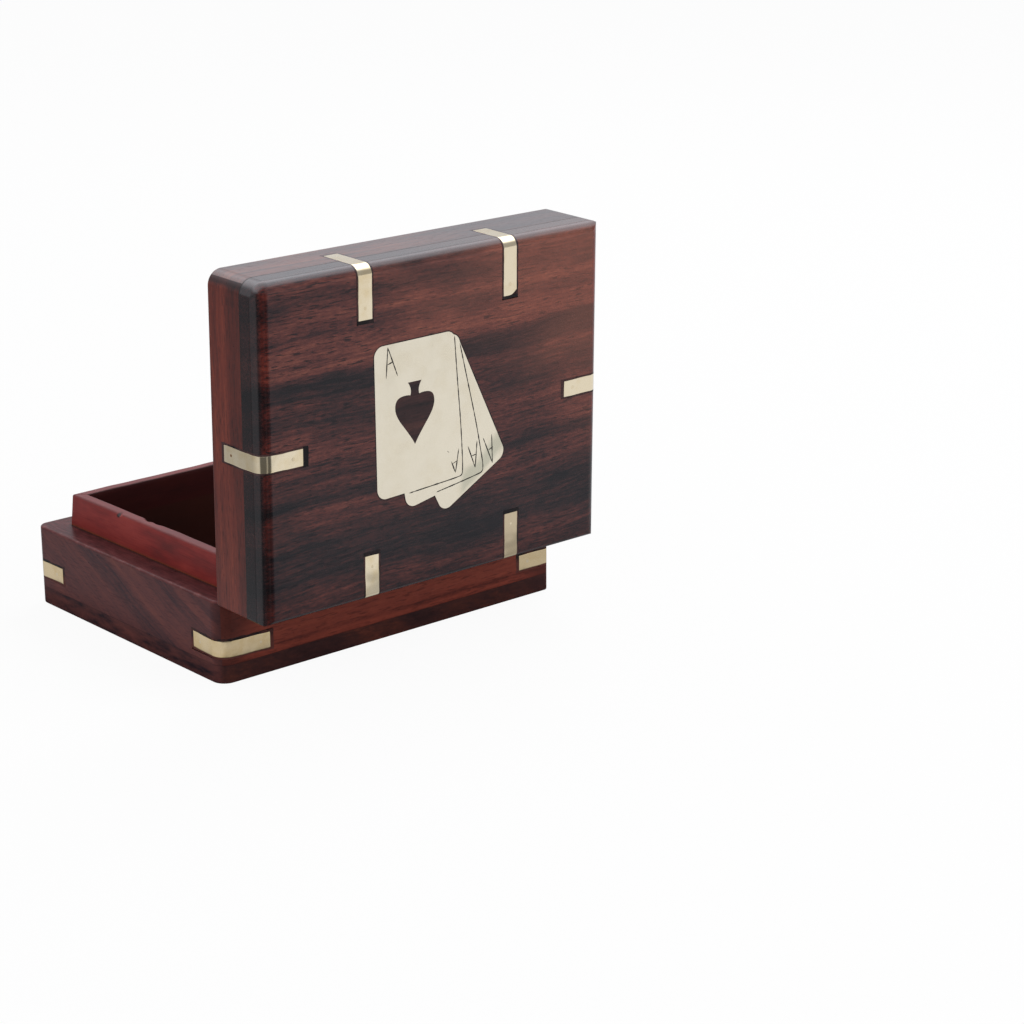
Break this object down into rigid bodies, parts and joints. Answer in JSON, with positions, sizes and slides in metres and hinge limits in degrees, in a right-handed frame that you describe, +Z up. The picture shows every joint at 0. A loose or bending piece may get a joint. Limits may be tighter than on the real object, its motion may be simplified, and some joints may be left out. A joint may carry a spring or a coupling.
{
  "type": "wooden playing card box",
  "caption": "Hinged hardwood box for a deck of playing cards, a tray with a raised stained lip under a deep lid with brass straps and a brass card-fan inlay.",
  "frame": {"origin": "centre of the tray's underside", "axes": "+Z up, +X along the long side, -Y towards the hinge side"},
  "size_m": [0.112, 0.1087, 0.1093],
  "materials": {
    "dark_panel": "oiled, figured dark heartwood",
    "red_brown_wood": "oiled red-brown wood",
    "stained_liner": "red stain, semi-gloss",
    "pale_brass": "worn, fine scratches",
    "hinge_brass": "drawn brass",
    "black_filler": "dull black filler"
  },
  "bodies": {
    "tray": {"base_bottom_panel": "dark_panel", "base_wall_back": "red_brown_wood", "base_wall_front": "red_brown_wood", "base_wall_left": "red_brown_wood", "base_wall_right": "red_brown_wood", "liner_back": "stained_liner", "liner_front": "stained_liner", "liner_left": "stained_liner", "liner_right": "stained_liner", "base_strap_back_left": "pale_brass", "base_strap_back_right": "pale_brass", "base_strap_front_left": "pale_brass", "base_strap_front_right": "pale_brass", "base_strap_pins": "pale_brass", "base_strap_filler": "black_filler", "hinge_base_leaf_left": "hinge_brass", "hinge_base_leaf_right": "hinge_brass", "hinge_pin_left": "hinge_brass", "hinge_pin_right": "hinge_brass", "hinge_base_screws": "hinge_brass"},
    "lid": {"lid_top_panel": "dark_panel", "lid_wall_back": "red_brown_wood", "lid_wall_front": "red_brown_wood", "lid_wall_left": "red_brown_wood", "lid_wall_right": "red_brown_wood", "lid_strap_left": "pale_brass", "lid_strap_right": "pale_brass", "lid_strap_front_left": "pale_brass", "lid_strap_front_right": "pale_brass", "lid_strap_back_left": "pale_brass", "lid_strap_back_right": "pale_brass", "lid_strap_pins": "pale_brass", "lid_strap_filler": "black_filler", "card_inlay_plate": "pale_brass", "spade_insert": "dark_panel", "inlay_filler": "black_filler", "hinge_lid_leaf_left": "hinge_brass", "hinge_lid_leaf_right": "hinge_brass", "hinge_lid_screws": "hinge_brass"}
  },
  "joints": [
    {"name": "lid_hinge", "type": "hinge", "parent": "tray", "child": "lid", "pos_m": [0, -0.04295, 0.02258], "axis": [1, 0, 0], "range_deg": [-91, 0]}
  ]
}
